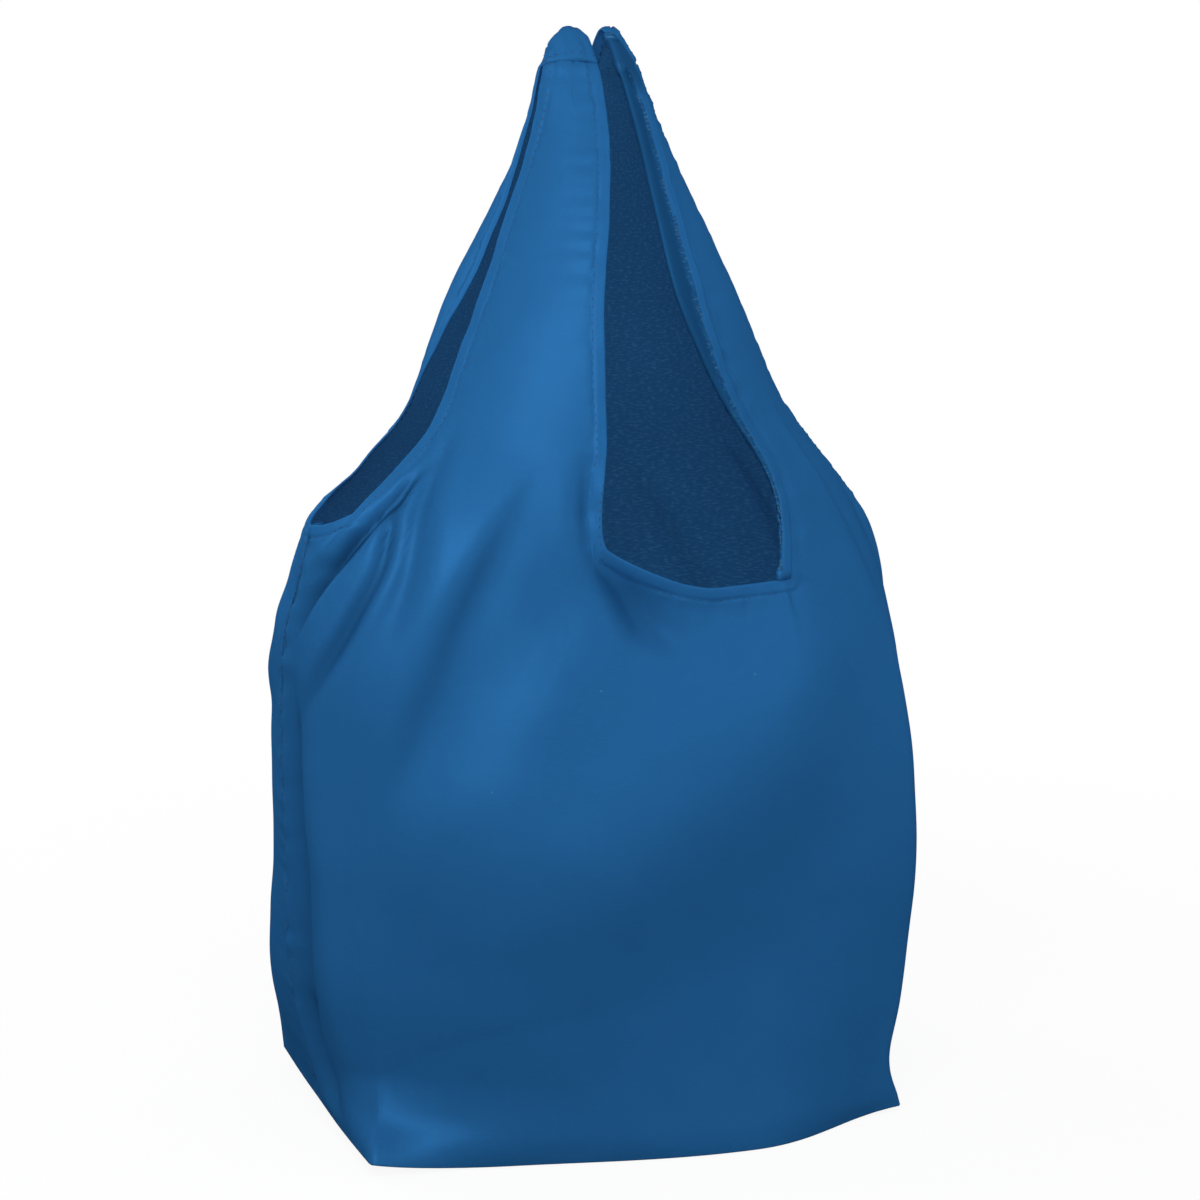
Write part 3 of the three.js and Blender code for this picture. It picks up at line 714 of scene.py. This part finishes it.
def ripples(waves, seed, points, count=14):
    """Gentle random undulation at points in millimetres, the same each run."""
    height, shortest, longest = waves
    rng = np.random.default_rng(seed)
    total = np.zeros(len(points))
    for _ in range(count):
        wave = 2 * np.pi / rng.uniform(shortest, longest)
        direction = rng.normal(size=3)
        direction /= np.linalg.norm(direction)
        total += np.sin(wave * (points @ direction) + rng.uniform(0, 2 * np.pi))
    return height * total / math.sqrt(count)


def hem_relief(panel, place, height, edge, hem_spot, rolled):
    """The turned-over hem: a rounded lip, a band, its sewn groove, and puckers beside it."""
    past = edge - HEM_WIDTH
    bend = clamp01(1 - edge / LIP_WIDTH)
    lip = LIP_DEPTH * (np.sqrt(1 - bend**2) - 1)
    in_band = 1 - ease((past + GROOVE_WIDTH) / (2 * GROOVE_WIDTH))
    band = in_band * (HEM_RISE + ripples(HEM_WAVES, panel["seed"] + 5, hem_spot))
    groove = -GROOVE_DEPTH * np.exp(-((past / GROOVE_WIDTH) ** 2))
    drawn_in = np.exp(-np.maximum(past, 0) / 8) * mix(0.25, 1, ease(past / 1.5))
    puckers = ripples(HEM_PUCKERS, panel["seed"] + 2, hem_spot) * drawn_in * ease(edge / 4)
    if panel is FRONT:
        under_scoop = np.abs(height - SCOOP_LOW) < 25
        puckers *= 1 + 1.6 * under_scoop * np.exp(-(((place - PUCKERED_PLACE) / 0.06) ** 2))
    return lip + band + groove + np.where(rolled, 0.2, 1) * puckers


def loop_relief(seed, spot, height, edge, finish):
    """The sewn line near the top of each loop, and the gathers beside it."""
    below_top = np.where(height > TOP_HEIGHT, 2 * TOP_HEIGHT - height, height)
    to_seam = np.abs(TOP_HEIGHT - HANDLE_SEAM_DROP - below_top)
    line = GROOVE_DEPTH / 2 * np.exp(-((to_seam / 1.5) ** 2)) * (height > NECK_HEIGHT)
    gathers = ripples(LOOP_GATHERS, seed + 4, spot * (1, 1, 0.25)) * np.exp(-to_seam / 12)
    return (finish < SEWN_OVER) * gathers * ease(edge / 9) - (finish < PLAIN) * line


def seam_relief(seed, spot, from_seam):
    """The seam between the panels: a groove, the cloth that rises beside it, and puckers."""
    groove = -0.6 * np.exp(-((from_seam / 1.6) ** 2))
    banks = 0.5 * np.exp(-(((from_seam - 4) / 3) ** 2))
    puckers = ripples(SEAM_PUCKERS, seed + 3, spot * (0.1, 0.1, 1))
    return groove + banks + puckers * np.exp(-from_seam / 12) * ease(from_seam / 2)


def free_edges(cloth):
    """Points along the free edges of a panel, less than a millimetre apart."""
    samples = []
    for edge in cloth.bm.edges:
        a, b = edge.verts
        if not edge.is_boundary or max(a[cloth.finish], b[cloth.finish]) >= SEWN_OVER:
            continue
        steps = max(1, math.ceil((b.co - a.co).length / (EDGE_STEP * MM)))
        samples.extend(a.co.lerp(b.co, k / steps) for k in range(steps))
    return samples


def point_tree(points):
    """A tree that finds the nearest of some points."""
    tree = KDTree(len(points))
    for k, point in enumerate(points):
        tree.insert(point, k)
    tree.balance()
    return tree


def shape_cloth(cloth):
    """Moves the smooth cloth along its normals into folds, hems and puckers; gives the sewn lines."""
    bm, panel = cloth.bm, cloth.panel
    bm.normal_update()
    bm.verts.index_update()
    verts = list(bm.verts)
    place = np.array([v[cloth.place] for v in verts])
    height = np.array([v[cloth.height] for v in verts])
    finish = np.array([v[cloth.finish] for v in verts])
    normals = np.array([v.normal for v in verts])
    points = np.array([v.co for v in verts])
    soft, rolled = finish == SOFT, finish == ROLLED
    tree = point_tree(free_edges(cloth))
    found = [tree.find(v.co) for v in verts]
    edge = np.array([away for _, _, away in found]) / MM
    hem_spot = np.array([spot for spot, _, _ in found]) / MM
    spot, seed = points / MM, panel["seed"]
    from_seam = (1 - np.abs(place)) * SHOULDER_QUARTER

    relief, painted_shade = fold_relief(panel["folds"], place, height)
    relief *= ease((1 - np.abs(place)) / 0.06) * mix(0.45, 1, ease(edge / 12))
    calm = ease(from_seam / 15) * ease((edge - 2) / 25) * soft
    relief += calm * (ripples(SLACK_WAVES, seed, spot) + ripples(FINE_WAVES, seed + 1, spot))
    relief += loop_relief(seed, spot, height, edge, finish)
    # On the rolled edge the outside lies underneath, so its hem is worked the other way.
    facing = np.where(rolled, -1, soft)
    relief += facing * hem_relief(panel, place, height, edge, hem_spot, rolled)
    relief += ((height < SEAM_TOP) & soft) * seam_relief(seed, spot, from_seam)
    relief *= ease((height - foot_height(panel, place) + 1) / 9) * (finish < PLAIN)
    # Painted shade stays off the hems, and is laid on the rolled edge inside its bend and near the top
    # of its loop.
    painted_shade *= ease((edge - HEM_WIDTH) / 6) * soft
    painted_shade += ROLL_SHADE * rolled * ease((edge - HEM_WIDTH) / 5)
    near_top = rolled * ease((height - NECK_HEIGHT - 13) / 15)
    painted_shade = np.maximum(painted_shade, LOOP_SHADE * near_top)

    moved = points + normals * (relief * MM)[:, None]
    moved[:, 2] = np.maximum(moved[:, 2], np.minimum(points[:, 2], 0.0))
    group = bm.verts.layers.deform.active
    in_hem = 1 - ease((edge - HEM_WIDTH + 0.4) / 0.8)
    for vert, co, weight, dark in zip(verts, moved, in_hem, painted_shade):
        vert.co = co
        vert[group][0] = float(weight)
        vert[cloth.painted_shade] = dark
    is_hem = (edge < HEM_WIDTH + 0.1) & (finish < SEWN_OVER)
    for face in bm.faces:
        face.smooth = True
        if all(is_hem[v.index] for v in face.verts):
            face.material_index = HEM_SLOT
    bm.normal_update()
    tree = point_tree(points)
    sewn = []
    for line in cloth.lines:
        found = [verts[tree.find(point)[1]] for point in line]
        sewn.append((np.array([v.co for v in found]), np.array([v.normal for v in found])))
    return sewn + cloth.threads


def add_uvs(cloth):
    """The cloth's own flat coordinates in metres, so that the weave follows it."""
    uv = cloth.bm.loops.layers.uv.new("cloth")
    for face in cloth.bm.faces:
        for loop in face.loops:
            vert = loop.vert
            loop[uv].uv = (vert[cloth.place] * QUARTER * MM, vert[cloth.height] * MM)


def new_object(name, bm, materials):
    """Turns a bmesh into an object of the scene."""
    mesh = bpy.data.meshes.new(name)
    bm.to_mesh(mesh)
    bm.free()
    for material in materials:
        mesh.materials.append(material)
    obj = bpy.data.objects.new(name, mesh)
    bpy.context.scene.collection.objects.link(obj)
    return obj


def cloth_object(name, cloth, outside, inside):
    """A panel's sheet with its thickness; a turned-over hem shows the outside on both its faces."""
    obj = new_object(name, cloth.bm, [outside, inside, outside, outside])
    obj.vertex_groups.new(name="hem")
    solid = obj.modifiers.new("thickness", "SOLIDIFY")
    solid.thickness = HEM_THICKNESS * MM
    solid.offset = -1
    solid.vertex_group = "hem"
    solid.thickness_vertex_group = CLOTH_THICKNESS / HEM_THICKNESS
    solid.material_offset = 1
    solid.material_offset_rim = 0
    return obj


def stitch_frames(points, normals):
    """Where the lockstitches of one line sit: slim beads that show on both faces of the cloth."""
    steps = np.linalg.norm(np.diff(points, axis=0), axis=1)
    so_far = np.concatenate([[0], np.cumsum(steps)])
    pitch, half = STITCH_PITCH * MM, STITCH_LENGTH * MM / 2
    size = Matrix.Diagonal((half, THREAD_RADIUS * MM, STITCH_HEIGHT * MM, 1))
    frames = []
    for at in np.arange(pitch / 2, so_far[-1] - pitch / 2, pitch):
        start, middle, end = (Vector([np.interp(spot, so_far, points[:, k]) for k in range(3)])
                              for spot in (at - half, at, at + half))
        normal = Vector([np.interp(at, so_far, normals[:, k]) for k in range(3)])
        along = (end - start).normalized()
        side = normal.cross(along).normalized()
        up = along.cross(side)
        turn = Matrix((along, side, up)).transposed().to_4x4()
        frames.append(Matrix.Translation(middle - up * (HEM_THICKNESS * MM / 2)) @ turn @ size)
    return frames


def thread_object(name, sewn, material):
    """All the stitches of a panel: a bead of thread at each, made line by line."""
    bm = bmesh.new()
    beads = bpy.data.meshes.new("beads")
    for line in sewn:
        row = bmesh.new()
        for place in stitch_frames(*line):
            bmesh.ops.create_uvsphere(row, u_segments=6, v_segments=4, radius=1.0, matrix=place)
        row.to_mesh(beads)
        row.free()
        bm.from_mesh(beads)
    bpy.data.meshes.remove(beads)
    for face in bm.faces:
        face.smooth = True
    return new_object(name, bm, [material])


def linear(hex_colour):
    """An sRGB hex colour as linear red, green, blue and alpha."""
    parts = [int(hex_colour[k:k + 2], 16) / 255 for k in (1, 3, 5)]
    return (*(p / 12.92 if p <= 0.04045 else ((p + 0.055) / 1.055) ** 2.4 for p in parts), 1)


def add_node(tree, kind, inputs, **settings):
    """Adds a node with its settings; an input is linked to a socket or set to a value."""
    node = tree.nodes.new(kind)
    for key, value in settings.items():
        setattr(node, key, value)
    for key, value in inputs.items():
        if isinstance(value, bpy.types.NodeSocket):
            tree.links.new(value, node.inputs[key])
        else:
            node.inputs[key].default_value = value
    return node


def new_material(name):
    """An empty material and the tree for its nodes."""
    material = bpy.data.materials.new(name)
    material.use_nodes = True
    material.node_tree.nodes.clear()
    return material, material.node_tree


def pressed_line(tree, flat):
    """A sharp line where the bag was pressed for folding: 1 on the line, 0 away from it."""
    split = add_node(tree, "ShaderNodeSeparateXYZ", {"Vector": flat})
    up = split.outputs["Y"]
    across = add_node(tree, "ShaderNodeMath", {0: split.outputs["X"]}, operation="ABSOLUTE")
    upright = add_node(tree, "ShaderNodeMath", {0: up, 1: -PRESSED_LEAN, 2: across.outputs[0]},
                       operation="MULTIPLY_ADD")
    inset = (CREASE * QUARTER - PRESSED_INSET) * MM
    beside = add_node(tree, "ShaderNodeMath", {0: upright.outputs[0], 1: inset}, operation="SUBTRACT")
    away = add_node(tree, "ShaderNodeMath", {0: beside.outputs[0]}, operation="ABSOLUTE")
    on_line = add_node(tree, "ShaderNodeMapRange",
                       {"Value": away.outputs[0], "From Min": 0, "From Max": PRESSED_WIDTH * MM,
                        "To Min": 1, "To Max": 0}, interpolation_type="SMOOTHSTEP")
    low, high = PRESSED_UP_TO
    low_down = add_node(tree, "ShaderNodeMapRange",
                        {"Value": up, "From Min": low * MM, "From Max": high * MM,
                         "To Min": 1, "To Max": 0}, interpolation_type="SMOOTHSTEP")
    return add_node(tree, "ShaderNodeMath", {0: on_line.outputs[0], 1: low_down.outputs[0]},
                    operation="MULTIPLY").outputs[0]


def taffeta(name, colour, shade, speck, through, grain_share, through_share, roughness, weave_depth):
    """Polyester taffeta of shiny filament, tightly woven: satin, a faint rib, light comes through."""
    material, tree = new_material(name)
    flat = add_node(tree, "ShaderNodeUVMap", {}, uv_map="cloth").outputs[0]

    # Deep in a narrow fold the cloth nearly touches itself and little light comes back out: painted
    # shade there, and no grain.
    depth = add_node(tree, "ShaderNodeAttribute", {}, attribute_name="painted_shade").outputs["Fac"]
    clear_of_painted_shade = add_node(tree, "ShaderNodeMapRange",
                          {"Value": depth, "From Min": 0, "From Max": 0.6, "To Min": 1, "To Max": 0},
                          interpolation_type="SMOOTHSTEP").outputs[0]

    # Threads both ways, with slubs that are drawn out along the weft: a fine bumpy rib
    rib_scale = math.pi / 10 / (WEAVE_PITCH * MM)
    warp = add_node(tree, "ShaderNodeTexWave", {"Vector": flat, "Scale": rib_scale},
                    bands_direction="X")
    weft = add_node(tree, "ShaderNodeTexWave", {"Vector": flat, "Scale": rib_scale},
                    bands_direction="Y")
    drawn_out = add_node(tree, "ShaderNodeMapping", {"Vector": flat, "Scale": (SLUB_STRETCH, 1, 1)})
    slub = add_node(tree, "ShaderNodeTexNoise",
                    {"Vector": drawn_out.outputs[0], "Scale": SLUBS_PER_MM / MM,
                     "Detail": 2}).outputs["Fac"]
    ribs = add_node(tree, "ShaderNodeMath", {0: warp.outputs["Fac"], 1: weft.outputs["Fac"]},
                    operation="ADD")
    weave = add_node(tree, "ShaderNodeMath", {0: slub, 1: 2, 2: ribs.outputs[0]},
                     operation="MULTIPLY_ADD")
    pressed = add_node(tree, "ShaderNodeBump", {"Height": pressed_line(tree, flat), "Strength": 0.25,
                                                "Distance": 0.3 * MM})
    strength = add_node(tree, "ShaderNodeMath", {0: clear_of_painted_shade, 1: 0.25}, operation="MULTIPLY")
    woven = add_node(tree, "ShaderNodeBump",
                     {"Height": weave.outputs[0], "Normal": pressed.outputs[0],
                      "Strength": strength.outputs[0], "Distance": weave_depth * MM}).outputs[0]

    # The dye is a little cloudy, the slubs are paler and carry painted glint, and a few specks of dust
    # lie on it.
    cloudy = add_node(tree, "ShaderNodeTexNoise",
                      {"Vector": flat, "Scale": 1 / (CLOUD_SIZE * MM), "Detail": 4})
    dyed = add_node(tree, "ShaderNodeMix",
                    {"Factor": cloudy.outputs["Fac"], 6: linear(colour), 7: linear(shade)},
                    data_type="RGBA")
    # Painted glint: the slubs take a paler colour, much paler on the inside cloth, for light caught by
    # the weave.
    thick = add_node(tree, "ShaderNodeMapRange",
                     {"Value": slub, "From Min": 0.47, "From Max": 0.68, "To Min": 0,
                      "To Max": grain_share}, interpolation_type="SMOOTHSTEP")
    grain = add_node(tree, "ShaderNodeMath", {0: thick.outputs[0], 1: clear_of_painted_shade},
                     operation="MULTIPLY")
    grainy = add_node(tree, "ShaderNodeMix",
                      {"Factor": grain.outputs[0], 6: dyed.outputs[2], 7: linear(speck)},
                      data_type="RGBA")
    cell = add_node(tree, "ShaderNodeTexVoronoi", {"Vector": flat, "Scale": 1 / (DUST_SPACING * MM)})
    dust = add_node(tree, "ShaderNodeMapRange",
                    {"Value": cell.outputs["Distance"], "From Min": 0.012, "From Max": 0.024,
                     "To Min": 0.5, "To Max": 0}, interpolation_type="SMOOTHSTEP")
    dusty = add_node(tree, "ShaderNodeMix",
                     {"Factor": dust.outputs[0], 6: grainy.outputs[2], 7: linear("#8FB4DA")},
                     data_type="RGBA")
    # Painted shade: the colour is darkened towards navy by the painted shade mask.
    painted_shade_share = add_node(tree, "ShaderNodeMath", {0: depth, 1: 0.7}, operation="MULTIPLY")
    painted_shade_colour = add_node(tree, "ShaderNodeMix",
                       {"Factor": painted_shade_share.outputs[0], 6: dusty.outputs[2], 7: linear("#0C2C4A")},
                       data_type="RGBA")

    # A dull ground, light from behind, and the blue sheen of the filament over both
    ground = add_node(tree, "ShaderNodeBsdfPrincipled",
                      {"Base Color": painted_shade_colour.outputs[2], "Normal": woven, "Roughness": 1,
                       "Specular IOR Level": 0})
    light_through = add_node(tree, "ShaderNodeBsdfTranslucent", {"Color": linear(through)})
    cloth = add_node(tree, "ShaderNodeMixShader",
                     {0: through_share, 1: ground.outputs[0], 2: light_through.outputs[0]})
    filament = add_node(tree, "ShaderNodeBsdfGlossy",
                        {"Color": linear("#3C86C8"), "Normal": woven, "Roughness": roughness})
    satin = add_node(tree, "ShaderNodeMixShader",
                     {0: 0.08, 1: cloth.outputs[0], 2: filament.outputs[0]})
    add_node(tree, "ShaderNodeOutputMaterial", {"Surface": satin.outputs[0]})
    return material


def thread_with_painted_shade():
    """Spun polyester sewing thread: dull, and drawn a little darker than the cloth it is sunk into, as
    painted shade of its needle holes.
    """
    material, tree = new_material("thread_with_painted_shade")
    spun = add_node(tree, "ShaderNodeBsdfPrincipled",
                    {"Base Color": linear("#1B4C7C"), "Roughness": 0.6})
    add_node(tree, "ShaderNodeOutputMaterial", {"Surface": spun.outputs[0]})
    return material


def seen_directly(tree):
    """1 for rays that show the background: the camera's own, and those reflected or let through."""
    rays = add_node(tree, "ShaderNodeLightPath", {}).outputs
    bent = add_node(tree, "ShaderNodeMath",
                    {0: rays["Is Glossy Ray"], 1: rays["Is Transmission Ray"]}, operation="MAXIMUM")
    return add_node(tree, "ShaderNodeMath", {0: rays["Is Camera Ray"], 1: bent.outputs[0]},
                    operation="MAXIMUM").outputs[0]


def white_floor():
    """Matt board that is white to the camera, keeps the bag's shadow and fades out far away."""
    material, tree = new_material("white_floor")
    matt = add_node(tree, "ShaderNodeBsdfDiffuse", {"Color": linear("#555555")}).outputs[0]
    glow = add_node(tree, "ShaderNodeEmission", {"Strength": FLOOR_GLOW})
    lit = add_node(tree, "ShaderNodeAddShader", {0: matt, 1: glow.outputs[0]})
    board = add_node(tree, "ShaderNodeMixShader", {0: seen_directly(tree), 1: matt, 2: lit.outputs[0]})
    spot = add_node(tree, "ShaderNodeTexCoord", {})
    away = add_node(tree, "ShaderNodeVectorMath", {0: spot.outputs["Object"]}, operation="LENGTH")
    near, far = FLOOR_FADE
    gone = add_node(tree, "ShaderNodeMapRange",
                    {"Value": away.outputs["Value"], "From Min": near, "From Max": far},
                    interpolation_type="SMOOTHSTEP")
    clear = add_node(tree, "ShaderNodeBsdfTransparent", {})
    faded = add_node(tree, "ShaderNodeMixShader",
                     {0: gone.outputs[0], 1: board.outputs[0], 2: clear.outputs[0]})
    add_node(tree, "ShaderNodeOutputMaterial", {"Surface": faded.outputs[0]})
    return material


def pale_floor():
    """The board under the bag, which only belongs to the picture."""
    bm = bmesh.new()
    bmesh.ops.create_grid(bm, x_segments=1, y_segments=1, size=1)
    floor = new_object("floor", bm, [white_floor()])
    floor.location.z = -FLOOR_DROP


def studio_light():
    """An even room that looks white, and a few soft lamps."""
    world = bpy.data.worlds.new("studio")
    bpy.context.scene.world = world
    world.use_nodes = True
    tree = world.node_tree
    tree.nodes.clear()
    white = linear("#FFFFFF")
    room = add_node(tree, "ShaderNodeBackground", {"Color": white, "Strength": ROOM_LIGHT})
    paper = add_node(tree, "ShaderNodeBackground", {"Color": white, "Strength": 1})
    choice = add_node(tree, "ShaderNodeMixShader",
                      {0: seen_directly(tree), 1: room.outputs[0], 2: paper.outputs[0]})
    add_node(tree, "ShaderNodeOutputWorld", {"Surface": choice.outputs[0]})
    for name, (place, target, power) in LAMPS.items():
        lamp(name, place, target, power)


def lamp(name, place, target, power):
    """A round soft lamp aimed at a point."""
    data = bpy.data.lights.new(name, "AREA")
    data.shape = "DISK"
    data.size = LAMP_SIZE
    data.energy = power
    obj = bpy.data.objects.new(name, data)
    obj.location = place
    obj.rotation_euler = (Vector(target) - Vector(place)).to_track_quat("-Z", "Y").to_euler()
    bpy.context.scene.collection.objects.link(obj)


def photo_camera():
    """The camera as it stood for the photograph."""
    data = bpy.data.cameras.new("camera")
    data.sensor_width = 36
    data.lens = CAMERA_LENS
    data.shift_x = CAMERA_SHIFT
    camera = bpy.data.objects.new("camera", data)
    turn, rise = math.radians(CAMERA_TURN), math.radians(CAMERA_RISE)
    back = Vector((math.sin(turn) * math.cos(rise), -math.cos(turn) * math.cos(rise), math.sin(rise)))
    target = Vector((-MIDDLE[0] * MM, -MIDDLE[1] * MM, CAMERA_AIM_HEIGHT))
    camera.location = target + back * CAMERA_AWAY
    camera.rotation_euler = (-back).to_track_quat("-Z", "Y").to_euler()
    bpy.context.scene.collection.objects.link(camera)
    bpy.context.scene.camera = camera


outside = taffeta("blue_taffeta_outside", colour="#2C76B6", shade="#296FAC", speck="#317CBE",
                  through="#78A9CE", grain_share=0.35, through_share=0.36, roughness=0.4,
                  weave_depth=0.05)
# Painted shade: the inside is the same dyed cloth, drawn darker than the outside for the shade inside
# the bag and on the rolled edge.
inside = taffeta("blue_taffeta_inside_painted_shade", colour="#1D5F95", shade="#1A5688", speck="#5FA2D2",
                 through="#82B4D2", grain_share=0.62, through_share=0.42, roughness=0.5,
                 weave_depth=0.4)
thread = thread_with_painted_shade()

for panel, node in ((FRONT, "front_panel"), (BACK, "back_panel")):
    cloth = panel_cloth(panel)
    sewn = shape_cloth(cloth)
    add_uvs(cloth)
    obj = cloth_object(panel["name"] + "_cloth", cloth, outside, inside)
    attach(obj, "root")
    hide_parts(node)
    stitches = thread_object(panel["name"] + "_thread", sewn, thread)
    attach(stitches, "root")

pale_floor()
studio_light()
photo_camera()
bpy.context.scene.view_settings.view_transform = "Standard"
